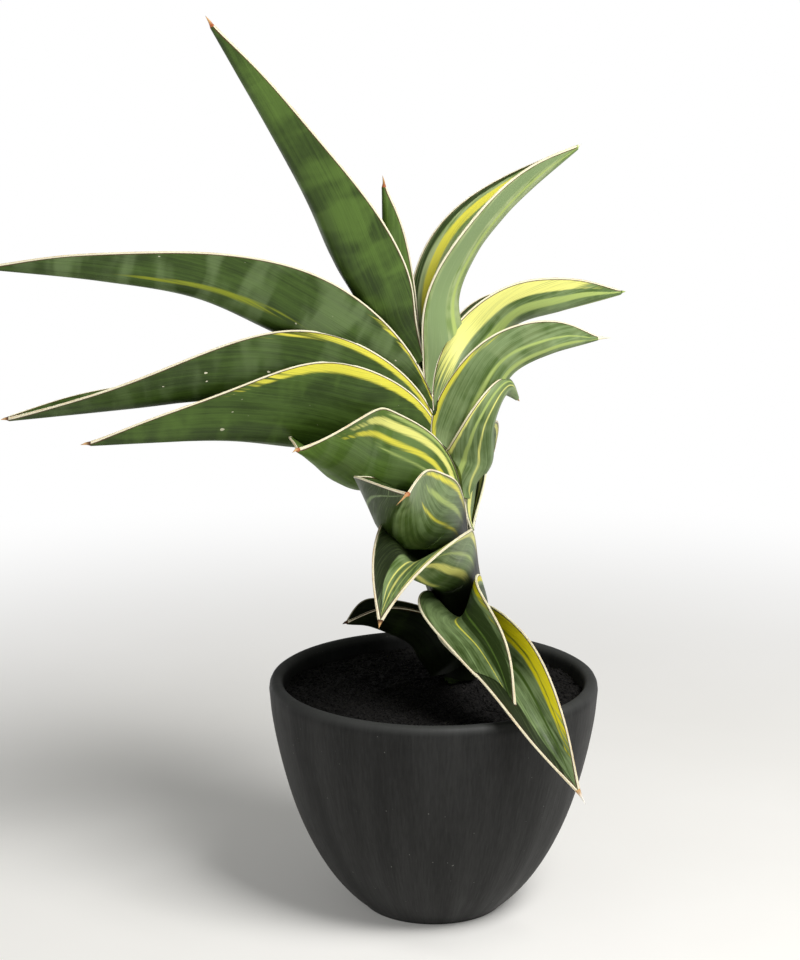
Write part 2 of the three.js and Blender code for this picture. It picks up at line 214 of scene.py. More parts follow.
leaves = [
    dict(name="leaf_spear", turn=180, base=268, flare=[5, 6, 7],
         keel=[(-22, 18, 315), (-24, 16, 350)], width=[16, 24, 24, 18, 4], fold=[100, 80, 60],
         bend=[1, 0.8, 0.5, 0.4], roll=[0, -20, -30], thick=[2.5, 4, 3.5, 2], spine=6),
    dict(leftward, name="leaf_left_1", turn=180, base=262,
         keel=[(-33, 8, 296), (-43, 2, 316), (-54, -2, 342), (-73, -6, 377), (-101, -12, 424)],
         width=[36, 48, 58, 56, 45, 34, 25, 17, 6], fold=[105, 80, 50, 42, 40, 40],
         roll=[0, -12, -36, -38, -38, -34], thick=[2.5, 6, 5.5, 5, 4, 2.2], spine=6),
    dict(rightward, name="leaf_right_1", turn=4, base=249, sheath=0.5,
         keel=[(9, 25, 296), (18, 29, 319), (31, 33, 335), (46, 38, 349), (69, 43, 367)],
         width=[38, 50, 48, 45, 37, 24, 10], fold=[105, 84, 60, 52, 50],
         roll=[0, -10, -24, -10, 6], spine=3),
    dict(leftward, name="leaf_left_2", turn=180, base=240, sheath=0.4,
         keel=[(-46, 8, 272), (-71, 2, 285), (-110, -4, 303), (-156, -8, 311), (-205, -10, 315)],
         width=[36, 50, 68, 68, 52, 37, 26, 19, 9], fold=[105, 80, 52, 44, 42, 42],
         roll=[0, -12, -40, -42, -38, -30], spine=5.7),
    dict(rightward, name="leaf_right_2", turn=5, base=237, sheath=0.62,
         keel=[(27, 38, 268), (39, 47, 282), (64, 58, 288), (94, 66, 294)],
         width=[36, 50, 55, 48, 37, 25, 9], fold=[105, 84, 66, 56, 50],
         roll=[0, 0, -14, 2, 20], spine=3),
    dict(leftward, name="leaf_left_3", turn=182, base=222, sheath=0.42,
         keel=[(-41, 9, 247), (-64, 4, 254), (-100, -4, 255), (-143, -10, 251), (-199, -16, 245)],
         width=[36, 52, 75, 72, 54, 37, 26, 18, 7], fold=[105, 82, 56, 50, 48, 46],
         roll=[0, -12, -40, -38, -12, 6], spine=4),
    dict(leftward, name="leaf_left_4", turn=188, base=212.5, sheath=0.5,
         keel=[(-39, 6, 229), (-64, -4, 233), (-96, -14, 237), (-128, -22, 237), (-159, -30, 236)],
         width=[36, 54, 84, 86, 70, 47, 32, 21, 8], fold=[105, 82, 58, 52, 50, 46],
         roll=[0, -12, -44, -42, -32, -15], spine=5),
    dict(rightward, name="leaf_right_3", turn=2, base=217, sheath=0.62,
         keel=[(28, 22, 247), (37, 23, 262), (57, 29, 271), (80, 38, 275)],
         width=[46, 56, 54, 47, 37, 25, 8], fold=[105, 84, 66, 56, 50],
         roll=[0, 14, 14, 24, 34], spine=8),
    dict(rightward, name="leaf_right_4", turn=8, base=199, sheath=0.5,
         keel=[(27, 14, 238), (32, 17, 250), (36, 24, 252), (41, 34, 246)],
         width=[36, 52, 50, 37, 25, 16, 6], fold=[105, 84, 62, 50, 46],
         roll=[0, 10, 10, 0, 0], spine=4),
    dict(forward, name="leaf_front_1", turn=205, base=187, sheath=0.5,
         keel=[(-34, -10, 213), (-49, -36, 227), (-62, -60, 239)],
         width=[38, 64, 76, 74, 46, 5], fold=[105, 80, 60, 50, 42], bend=leftward["bend"],
         roll=[0, -20, -38, -34, -20], spine=3.5, hook=(-1, 0, -1.5)),
    dict(behind, name="leaf_back_1", turn=76, base=179,
         keel=[(20, 56, 216), (25, 71, 221), (29, 83, 216), (32, 92, 209)],
         width=[36, 52, 56, 44, 28, 16, 6],
         roll=[0, 6, 6, 0, 0]),
    dict(forward, name="leaf_front_2", turn=245, base=161, sheath=0.45,
         keel=[(-15, -38, 192), (-17, -66, 211), (-13, -88, 225)],
         width=[36, 52, 72, 78, 68, 48, 10], fold=[105, 80, 66, 60, 52],
         roll=[0, 0, -4, -16, -26], spine=4, hook=(-6, 2, -6)),
    dict(behind, name="leaf_back_2", turn=96, base=155,
         keel=[(11, 60, 192), (10, 82, 200), (6, 102, 193), (3, 118, 176)]),
    dict(forward, name="leaf_front_3", turn=254, base=141, sheath=0.4,
         keel=[(-5, -30, 172), (-14, -56, 184), (-22, -76, 180), (-25, -88, 168)],
         width=[50, 62, 66, 66, 52, 30, 7], fold=[102, 80, 62, 50, 46], wave=0.06,
         roll=[0, 0, 8, 20, 20], spine=4),
    dict(behind, name="leaf_back_3", turn=108, base=131,
         keel=[(-1, 56, 162), (-5, 76, 170), (-10, 96, 162), (-14, 110, 144)]),
    dict(forward, name="leaf_front_4", turn=290, base=122,
         keel=[(11, -28, 147), (21, -48, 141), (35, -75, 124)],
         width=[46, 54, 52, 40, 27, 8], fold=[96, 78, 58, 46, 42], wave=0.08,
         roll=[0, 4, 2, 0, 0], spine=6),
    dict(forward, name="leaf_front_5", turn=300, base=110, flare=[12, 15, 19],
         keel=[(22, -30, 134), (35, -56, 130), (49, -80, 112), (63, -90, 90)],
         width=[36, 42, 50, 47, 37, 23, 7], fold=[98, 72, 54, 46, 42], wave=0.07,
         roll=[0, -4, -2, 0, 0], spine=8),
    dict(forward, name="leaf_back_4", turn=190, base=110, flare=[12, 16, 21],
         keel=[(-30, 10, 138), (-42, 6, 140)],
         width=[40, 48, 40, 34, 18], fold=[105, 76, 56, 50, 46], wave=0.09,
         roll=[0, -4, -10, -10, 0], thick=[2.5, 6, 6, 5, 3, 2.2], spine=3, edgeTone=(1, 1.2)),
]


def along(values, shares):  # the smooth value at each share of a list of evenly spaced values
    v = np.asarray(values, float)
    padded = np.concatenate([[2 * v[0] - v[1]], v, [2 * v[-1] - v[-2]]])
    place = np.asarray(shares, float) * (len(v) - 1)
    k = np.clip(place.astype(int), 0, len(v) - 2)
    w = place - k
    a, b, c, d = padded[k], padded[k + 1], padded[k + 2], padded[k + 3]
    return b + 0.5 * w * (c - a + w * (2 * a - 5 * b + 4 * c - d + w * (3 * (b - c) + d - a)))


def axisAt(height):
    heights, rights = zip(*plant["axis"])
    k = min(max(np.searchsorted(heights, height) - 1, 0), len(heights) - 2)
    w = (height - heights[k]) / (heights[k + 1] - heights[k])
    return np.array([rights[k] + (rights[k + 1] - rights[k]) * w, plant["axisBack"], height])


def smoothPath(points, steps=400):  # a centripetal Catmull-Rom curve through the points
    p = np.asarray(points, float)
    p = np.concatenate([[2 * p[0] - p[1]], p, [2 * p[-1] - p[-2]]])
    found = []
    for place in np.linspace(0, len(points) - 1, steps + 1):
        k = min(int(place), len(points) - 2)
        w = place - k
        p0, p1, p2, p3 = p[k:k + 4]
        d0, d1, d2 = (max(np.linalg.norm(q - r) ** 0.5, 1e-4) for q, r in ((p1, p0), (p2, p1), (p3, p2)))
        t1 = ((p1 - p0) / d0 - (p2 - p0) / (d0 + d1) + (p2 - p1) / d1) * d1
        t2 = ((p2 - p1) / d1 - (p3 - p1) / (d1 + d2) + (p3 - p2) / d2) * d1
        square = 3 * (p2 - p1) - 2 * t1 - t2
        cube = 2 * (p1 - p2) + t1 + t2
        found.append(p1 + t1 * w + square * w * w + cube * w ** 3)
    return np.array(found)


def keelOf(leaf):  # the way out from the stem, the keel's path, and the distance along it
    turn = math.radians(leaf["turn"])
    out = np.array([math.cos(turn), math.sin(turn), 0])
    base = [axisAt(leaf["base"] + k * plant["baseStep"]) + out * reach
            for k, reach in enumerate(leaf.get("flare", plant["baseFlare"]))]
    path = smoothPath(base + [np.array(p, float) for p in leaf["keel"]])
    run = np.concatenate([[0], np.cumsum(np.linalg.norm(np.diff(path, axis=0), axis=1))])
    return out, path, run


def unit(v):
    return v / np.linalg.norm(v)


def sectionPoints(s, fold, bend, steps=64):  # across and up, for places s from margin to margin
    x = (np.arange(steps) + 0.5) / steps
    share = np.minimum(1, x / bend)
    angle = fold * (share * (2 - share) if bend < blade["arc"] else share)
    over = np.concatenate([[0], np.cumsum(np.cos(angle))]) / steps
    rise = np.concatenate([[0], np.cumsum(np.sin(angle))]) / steps
    reach = np.abs(s)
    grid = np.linspace(0, 1, steps + 1)
    past = np.maximum(reach - 1, 0)
    across = np.interp(reach, grid, over) + past * math.cos(angle[-1])
    up = np.interp(reach, grid, rise) + past * math.sin(angle[-1])
    return np.where(s < 0, -1, 1) * across, up


def smoothed(rows, share, rounds):
    # rows drawn towards the mean of the rows before and after them, again and again, the ends kept
    for _ in range(rounds):
        rows[1:-1] += share * (0.5 * (rows[:-2] + rows[2:]) - rows[1:-1])
    return rows


# What each point of a leaf carries: its place across and along, each as a share and in millimetres, how
# far in from the margin it is, whether it lies on the inner face, and how far along the horny point
valueNames = ["across", "acrossMm", "along", "alongMm", "rim", "inner", "horn"]


def bladeGrid(leaf):
    # the middle layer of a leaf: a row of points from margin to margin at each station of its keel,
    # half its thickness at each point, and the values named above
    out, path, run = keelOf(leaf)
    at = lambda u: np.array([np.interp(u * run[-1], run, path[:, k]) for k in range(3)])
    s = np.sin(np.linspace(-math.pi / 2, math.pi / 2, blade["columns"] + 1))
    edge = np.clip((np.abs(s) - blade["rippleFrom"]) / (1 - blade["rippleFrom"]), 0, 1)
    edge = edge ** blade["ripplePower"]
    ahead = blade["ahead"]
    places = np.linspace(0, 1, blade["stations"] + 1)
    ways = np.array([unit(at(min(1, u + ahead)) - at(max(0, u - ahead))) for u in places])
    ways = smoothed(ways, 0.5, blade["easeTurns"])
    up = -out
    mid, body, values = [], [], []
    for i, u in enumerate(places):
        tangent = unit(ways[i])
        up = unit(up - tangent * (up @ tangent))
        roll = math.radians(along(leaf["roll"], u))
        rolled = up * math.cos(roll) + np.cross(up, tangent) * math.sin(roll)
        lateral = np.cross(rolled, tangent)
        narrow = max(0, (u - blade["tipFrom"]) / (1 - blade["tipFrom"])) ** blade["tipPower"]
        width = along(leaf["width"], u)
        half = 0.5 * max(width + (min(width, blade["spineWidth"]) - width) * narrow, blade["slimmest"])
        ripple = leaf.get("wave", 0) * np.sin(blade["ripples"] * u + 2 * s)
        across, rise = sectionPoints(s * (1 + edge * ripple), math.radians(along(leaf["fold"], u)),
                                     along(leaf["bend"], u))
        mid.append(at(u) + np.outer(across * half, lateral) + np.outer(rise * half, rolled))
        thick = along(leaf["thick"], u)
        body.append(0.5 * (blade["margin"] + (thick - blade["margin"]) * (1 - np.abs(s) ** blade["crown"])))
        values.append(np.stack([s, s * half, np.full(len(s), u), np.full(len(s), u * run[-1]),
                                (1 - np.abs(s)) * half, np.zeros(len(s)), np.zeros(len(s))], axis=1))
    mid = smoothed(np.array(mid), 0.5 * (s ** 2)[None, :, None], blade["easeMargins"])
    return {"mid": mid, "body": np.array(body), "values": np.array(values)}


def thickened(leaf, grid, clearance=0.0, outset=0.0, reach=1.0):
    # the closed skin of a leaf from its root to a share of its length, thickened all round by
    # clearance and by outset more on the outside, which thins out to nothing at the far end
    rows = int(round(reach * blade["stations"])) + 1
    mid, body = grid["mid"][:rows], grid["body"][:rows] + clearance
    inward = np.cross(np.gradient(mid, axis=0), np.gradient(mid, axis=1))
    inward /= np.maximum(np.linalg.norm(inward, axis=2, keepdims=True), 1e-9)
    extra = outset * (1 - np.linspace(0, 1, rows) ** 3)[:, None]
    outer = mid - inward * (body + extra)[:, :, None]
    inner = (mid + inward * body[:, :, None])[:, ::-1]
    rings = np.concatenate([outer, inner], axis=1)
    columns, width = blade["columns"], rings.shape[1]
    alongMm, innerFace, horn = (valueNames.index(name) for name in ("alongMm", "inner", "horn"))
    values = grid["values"][:rows]
    mirrored = values[:, ::-1].copy()
    mirrored[:, :, innerFace] = 1
    values = np.concatenate([values, mirrored], axis=1)
    points, marks = list(rings), list(values)
    tangent = unit(mid[-1].mean(0) - mid[-2].mean(0))
    centre = points[-1].mean(0)
    offset = points[-1] - centre
    lateral = unit(mid[-1, -1] - mid[-1, 0])
    rolled = np.cross(tangent, lateral)
    turn = np.radians(np.concatenate([np.linspace(-90, 90, columns + 1), np.linspace(90, 270, columns + 1)]))
    size = np.linalg.norm(offset, axis=1).mean()
    circle = (np.outer(np.sin(turn), lateral) - np.outer(np.cos(turn), rolled)) * size
    hook = np.array(leaf.get("hook", (0, 0, 0)), float)
    for k in range(1, blade["spineRings"] + 1):
        t = k / (blade["spineRings"] + 1)
        mixed = offset + (circle - offset) * min(1, t * blade["spineRound"])
        shrunk = mixed * (1 - t) ** blade["spineTaper"]
        points.append(centre + tangent * leaf["spine"] * t + hook * t * t + shrunk)
        tail = marks[rows - 1].copy()
        tail[:, alongMm] += leaf["spine"] * t
        tail[:, horn] = t
        marks.append(tail)
    rings = len(points)
    tip = marks[-1][:1].copy()
    tip[:, horn] = 1
    flat = np.concatenate(points + [(centre + tangent * leaf["spine"] + hook)[None]])
    marks = np.concatenate(marks + [tip])
    faces = []
    for i in range(rings - 1):
        for j in range(width):
            a, b = i * width + j, i * width + (j + 1) % width
            faces += [(a, b, b + width), (a, b + width, a + width)]
    last = (rings - 1) * width
    faces += [(last + j, last + (j + 1) % width, rings * width) for j in range(width)]
    for j in range(columns):
        far = width - 1 - j
        faces += [(j + 1, j, far), (j + 1, far, far - 1)]
    return flat, faces, marks


stem = {
    "radius": 6, "low": 63, "high": 262, "steps": 120, "sides": 28,
    "scar": 0.22, "scarRate": 1.15, "scarPower": 6,  # how high, close and narrow the scars are
}


def stemMesh(radius, scar=0.0):
    # the stem as a closed rod along the plant's axis, with leaf scars of a height round it
    steps, sides = stem["steps"], stem["sides"]
    turn = np.linspace(0, 2 * math.pi, sides, endpoint=False)
    circle = np.stack([np.cos(turn), np.sin(turn), np.zeros(sides)], axis=1)
    points, faces = [], []
    for i in range(steps + 1):
        height = stem["low"] + (stem["high"] - stem["low"]) * i / steps
        ring = scar * max(0, math.sin(height * stem["scarRate"])) ** stem["scarPower"]
        points.append(axisAt(height) + circle * (radius + ring))
    for i in range(steps):
        for j in range(sides):
            a, b = i * sides + j, i * sides + (j + 1) % sides
            faces.append((a, b, b + sides, a + sides))
    flat = np.concatenate(points + [axisAt(stem["low"])[None], axisAt(stem["high"])[None]])
    foot, top = len(flat) - 2, len(flat) - 1
    for j in range(sides):
        faces.append(((j + 1) % sides, j, foot))
        faces.append((steps * sides + j, steps * sides + (j + 1) % sides, top))
    return flat, faces


def boxOf(made):
    corners = np.array([v[:] for v in made.bound_box])
    return corners.min(0), corners.max(0)


def boxesMeet(a, b):
    (lowA, highA), (lowB, highB) = boxOf(a), boxOf(b)
    return bool(np.all(lowA < highB) and np.all(lowB < highA))


def cutBy(made, cutters):  # what is left of a closed piece outside the cutters
    for cutter in cutters:
        if boxesMeet(made, cutter):
            cut = made.modifiers.new("cut", "BOOLEAN")
            cut.operation, cut.solver, cut.object = "DIFFERENCE", "MANIFOLD", cutter
    mesh = plainMesh(made, made.name)
    made.modifiers.clear()
    made.data = mesh


def keepLargest(mesh):  # drops the scraps that cutting leaves
    work = bmesh.new()
    work.from_mesh(mesh)
    left, islands = set(work.verts), []
    while left:
        island, front = set(), [left.pop()]
        while front:
            vert = front.pop()
            island.add(vert)
            for edge in vert.link_edges:
                other = edge.other_vert(vert)
                if other in left:
                    left.remove(other)
                    front.append(other)
        islands.append(island)
    best = max(islands, key=len)
    bmesh.ops.delete(work, geom=[v for v in work.verts if v not in best], context="VERTS")
    work.to_mesh(mesh)
    work.free()


def carryValues(mesh, points, faces, values):
    # each point of the cut leaf takes the values of the nearest place on the whole leaf
    for old in [a.name for a in mesh.attributes if a.name.split(".")[0] in valueNames]:
        mesh.attributes.remove(mesh.attributes[old])
    tree = BVHTree.FromPolygons((points * mm).tolist(), faces)
    found = [tree.find_nearest(Vector(c)) for c in pointsOf(mesh).tolist()]
    corner = np.array([faces[f[2]] for f in found])
    place = np.array([f[0] for f in found]) / mm
    a, b, c = (points[corner[:, k]] for k in range(3))
    e1, e2, e3 = b - a, c - a, place - a
    d11, d12, d22 = (e1 * e1).sum(1), (e1 * e2).sum(1), (e2 * e2).sum(1)
    d31, d32 = (e3 * e1).sum(1), (e3 * e2).sum(1)
    scale = np.maximum(d11 * d22 - d12 * d12, 1e-12)
    v = np.clip((d22 * d31 - d12 * d32) / scale, 0, 1)
    w = np.clip((d11 * d32 - d12 * d31) / scale, 0, 1)
    shares = (1 - v - w, v, w)
    mixed = sum(values[corner[:, k]] * share[:, None] for k, share in enumerate(shares))
    for k, name in enumerate(valueNames):
        setValues(mesh, name, mixed[:, k])


grids = [bladeGrid(leaf) for leaf in leaves]
around, sheaths, whole, leafPieces = [], [], [], []
for leaf, grid in zip(leaves, grids):
    name = leaf["name"]
    whole.append(thickened(leaf, grid))
    around.append(newObject(name + "_around", *thickened(leaf, grid, blade["gap"])[:2]))
    reach = leaf.get("sheath", blade["sheathShare"])
    sheath = thickened(leaf, grid, blade["gap"], blade["sheathReach"], reach)
    sheaths.append(newObject(name + "_sheath", *sheath[:2]))
stemAround = newObject("stem_around", *stemMesh(stem["radius"] + 2 * blade["gap"]))
for k, leaf in enumerate(leaves):
    points, faces, values = whole[k]
    piece = newObject("skin_" + leaf["name"], points, faces)
    cutBy(piece, [stemAround] + around[k + 1:] + sheaths[k + 1:] + leafPieces)
    keepLargest(piece.data)
    carryValues(piece.data, points, faces, values)
    piece.data.shade_smooth()
    piece.data.set_sharp_from_angle(angle=math.radians(blade["sharpAngle"]))
    leafPieces.append(piece)
for spare in around + sheaths + [stemAround]:
    bpy.data.objects.remove(spare)

print("stage: leaf margins")

# The thin papery bead along each margin, a tube swept by geometry nodes
bead = {
    "radius": 0.3, "sides": 6, "uneven": 0.45, "seed": 4,
    "reach": 0.75,  # where the cut leaf is further away than this, its margin is gone
    "tuck": 0.12,  # how far in from the margin the bead sits
    "tipSize": 0.55, "tipRows": 12,  # how thin it gets at the tip, over how many stations
    "tone": (0.1, 0.5),  # how brown it is at the root and at the tip
}


def marginLines():  # the points of each margin that the cut leaves still have
    points, edges, size, tone = [], [], [], []
    columns, count = blade["columns"], blade["stations"]
    width = 2 * (columns + 1)
    for leaf, piece, (flat, faces, values) in zip(leaves, leafPieces, whole):
        tree = BVHTree.FromObject(piece, bpy.context.evaluated_depsgraph_get())
        for near, far in ((0, width - 1), (columns, columns + 1)):
            before = False
            for i in range(1, count + 1):
                middle = 0.5 * (flat[i * width + near] + flat[i * width + far])
                beside = flat[i * width + near + (1 if near == 0 else -1)]
                inward = 0.5 * (beside + flat[i * width + far]) - middle
                place = middle + inward * bead["tuck"]
                nearest = tree.find_nearest(Vector((place * mm).tolist()))[3]
                there = nearest < bead["reach"] * mm
                if there:
                    points.append(place)
                    ending = min(1, (count - i) / bead["tipRows"])
                    size.append(bead["tipSize"] + (1 - bead["tipSize"]) * ending)
                    first, last = leaf.get("edgeTone", bead["tone"])
                    tone.append(first + (last - first) * (i / count))
                    if before:
                        edges.append((len(points) - 2, len(points) - 1))
                before = there
    return points, edges, size, tone


def sweepTree():  # sweeps a small round section along every edge chain of a mesh
    inputs = dict(Geometry="Geometry", Radius="Float", Sides="Int", Uneven="Float", Seed="Int",
                  Material="Material")
    tree, given, result = newGroup("sweepMargin", "GeometryNodeTree", inputs, {"Geometry": "Geometry"})
    value = given.outputs
    curve = put(tree, "GeometryNodeMeshToCurve", {"Mesh": value["Geometry"]})
    size = put(tree, "GeometryNodeInputNamedAttribute", {"Name": "size"}, data_type="FLOAT")
    place = put(tree, "GeometryNodeInputPosition")
    chance = put(tree, "ShaderNodeTexNoise",
                 {"Vector": place, "W": value["Seed"], "Scale": 420.0, "Detail": 2.0},
                 noise_dimensions="4D")
    swing = times(tree, calc(tree, "SUBTRACT", chance, 0.5), value["Uneven"])
    share = times(tree, calc(tree, "ADD", swing, 1.0), size)
    radius = times(tree, share, value["Radius"])
    circle = put(tree, "GeometryNodeCurvePrimitiveCircle", {"Resolution": value["Sides"], "Radius": 1.0})
    tube = put(tree, "GeometryNodeCurveToMesh",
               {"Curve": curve, "Profile Curve": circle, "Fill Caps": True, "Scale": radius})
    smooth = put(tree, "GeometryNodeSetShadeSmooth", {"Geometry": tube})
    real = put(tree, "GeometryNodeRealizeInstances", {"Geometry": smooth})
    dressed = put(tree, "GeometryNodeSetMaterial", {"Geometry": real, "Material": value["Material"]})
    tree.links.new(dressed.outputs[0], result.inputs[0])
    return tree


def runTree(made, tree, values):  # sets a tree's named inputs and turns its result into a plain mesh
    modifier = made.modifiers.new(tree.name, "NODES")
    modifier.node_group = tree
    for item in tree.interface.items_tree:
        if item.item_type == "SOCKET" and item.in_out == "INPUT" and item.name in values:
            modifier[item.identifier] = values[item.name]
    mesh = plainMesh(made, made.name)
    made.modifiers.clear()
    made.data = mesh


marginPoints, marginEdges, marginSize, marginTone = marginLines()
margins = newObject("leaf_margins", marginPoints, [], marginEdges)
setValues(margins.data, "size", marginSize)
setValues(margins.data, "tone", marginTone)


def marginMaterial():  # dry, papery and nearly white, browner towards the tips
    made, tree, shader = newMaterial("paperyMargin")
    place = objectPlace(tree)
    blotch = noise(tree, place, 130.0, 4.0, 0.6)
    fine = noise(tree, place, 1400.0, 2.0)
    age = calc(tree, "ADD", attribute(tree, "tone"), times(tree, blotch, 1.2))
    colour = blend(tree, ramp(tree, age, 0.75, 1.5), "cream", "tan")
    colour = blend(tree, ramp(tree, age, 1.3, 1.7), colour, "brown")
    dress(tree, shader, colour, ramp(tree, fine, 0.2, 0.8, 0.45, 0.8), fine, 0.5, 0.0002)
    return made


runTree(margins, sweepTree(), {"Radius": bead["radius"] * mm, "Sides": bead["sides"],
                               "Uneven": bead["uneven"], "Seed": bead["seed"], "Material": marginMaterial()})
finishPiece(margins, "leaf")

print("stage: leaf skins")

skinLooks = {"bandSize": 13.0, "faces": 40.0, "apart": 7.3}  # the last two keep patterns apart


def leafSkinGroup():
    # the skin between the stripes: fine lines along the leaf, soft bands across it and pale bloom
    inputs = dict(Dark="Color", Light="Color", Band="Color", Amount="Float", Seed="Float")
    outputs = dict(Color="Color", Lines="Float", Fray="Float", Bloom="Float")
    tree, given, result = newGroup("leafSkin", "ShaderNodeTree", inputs, outputs)
    value = given.outputs
    over, run = attribute(tree, "acrossMm"), attribute(tree, "alongMm")
    side = calc(tree, "MULTIPLY_ADD", attribute(tree, "inner"), skinLooks["faces"], value["Seed"])

    def pattern(overRate, runRate, *kind):  # noise at its own rates across and along the leaf
        place = vector(tree, times(tree, over, overRate), times(tree, run, runRate), side)
        return noise(tree, place, 1.0, *kind)

    lines = pattern(0.75, 0.009, 3.0, 0.6)
    threads = pattern(3.4, 0.03, 2.0)
    cloud = pattern(0.13, 0.05, 4.0, 0.6)
    reach = calc(tree, "DIVIDE", run, skinLooks["bandSize"])
    bands = noise(tree, vector(tree, times(tree, over, 0.03), reach, side), 1.0, 2.0, 0.5, 0.3)
    tone = calc(tree, "MULTIPLY_ADD", lines, 0.6, times(tree, cloud, 0.6))
    colour = blend(tree, ramp(tree, tone, 0.42, 0.8), value["Dark"], value["Light"])
    ragged = calc(tree, "MULTIPLY_ADD", calc(tree, "SUBTRACT", threads, 0.5), 0.14, bands)
    shown = times(tree, ramp(tree, ragged, 0.44, 0.66), value["Amount"])
    colour = blend(tree, shown, colour, value["Band"])
    fleck = times(tree, ramp(tree, threads, 0.55, 0.8), 0.3)
    colour = blend(tree, fleck, colour, value["Light"])
    shade = times(tree, ramp(tree, threads, 0.45, 0.25), 0.35)
    colour = blend(tree, shade, colour, value["Dark"])
    for label, found in (("Color", colour), ("Lines", lines), ("Fray", threads), ("Bloom", cloud)):
        tree.links.new(found, result.inputs[label])
    return tree


def leafStripeGroup():
    # where one long stripe lies: its middle across the leaf, how far that drifts by the tip, half its
    # width, and the shares of the length that it starts and ends at
    inputs = dict.fromkeys(("Lines", "Fray", "Middle", "Drift", "Half", "From", "To"), "Float")
    tree, given, result = newGroup("leafStripe", "ShaderNodeTree", inputs, {"Mask": "Float"})
    value = given.outputs
    run, across = attribute(tree, "along"), attribute(tree, "across")
    middle = calc(tree, "MULTIPLY_ADD", run, value["Drift"], value["Middle"])
    away = calc(tree, "ABSOLUTE", calc(tree, "SUBTRACT", across, middle))
    coarse, fine = (calc(tree, "SUBTRACT", value[label], 0.5) for label in ("Lines", "Fray"))
    rough = calc(tree, "MULTIPLY_ADD", coarse, 0.05, away)
    rough = calc(tree, "ADD", rough, times(tree, fine, 0.04))
    inside = calc(tree, "SUBTRACT", value["Half"], rough)
    edge = ramp(tree, inside, -0.015, 0.03)
    place = calc(tree, "ADD", run, times(tree, coarse, 0.5))
    start = ramp(tree, calc(tree, "SUBTRACT", place, value["From"]), -0.05, 0.05)
    end = ramp(tree, calc(tree, "SUBTRACT", value["To"], place), -0.07, 0.07)
    shown = times(tree, edge, times(tree, start, end))
    streak = calc(tree, "SUBTRACT", 1.0, times(tree, ramp(tree, value["Fray"], 0.52, 0.72), 0.4))
    tree.links.new(times(tree, shown, streak), result.inputs["Mask"])
    return tree


leafSkin = leafSkinGroup()
leafStripe = leafStripeGroup()

